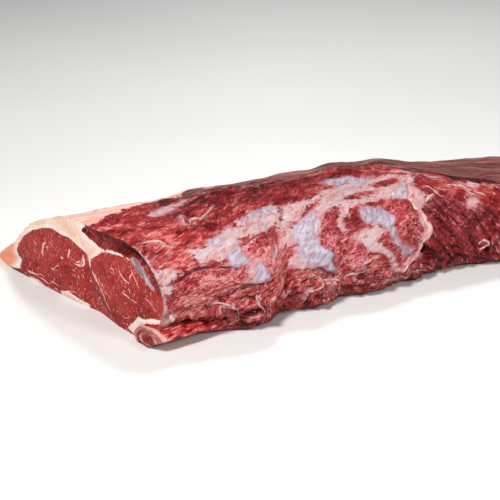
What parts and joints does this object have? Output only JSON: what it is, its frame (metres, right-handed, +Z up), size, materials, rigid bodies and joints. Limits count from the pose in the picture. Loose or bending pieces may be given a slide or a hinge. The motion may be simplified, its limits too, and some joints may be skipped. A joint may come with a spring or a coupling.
{
  "type": "raw beef rib roast",
  "caption": "Whole boneless raw beef rib roast, lying on its fat side, with marbled red meat, silver skin and a cream fat layer.",
  "frame": {"origin": "under the middle of the roast, on the surface that it lies on", "axes": "+X along the roast from the near cut to the far cut, +Y from its thick edge to its thin fat tail, +Z up"},
  "size_m": [0.6004, 0.3134, 0.0908],
  "materials": {
    "raw_beef": "moist raw meat with cream fat and bluish silver skin"
  },
  "bodies": {
    "root": {"roast": "raw_beef"}
  },
  "joints": []
}
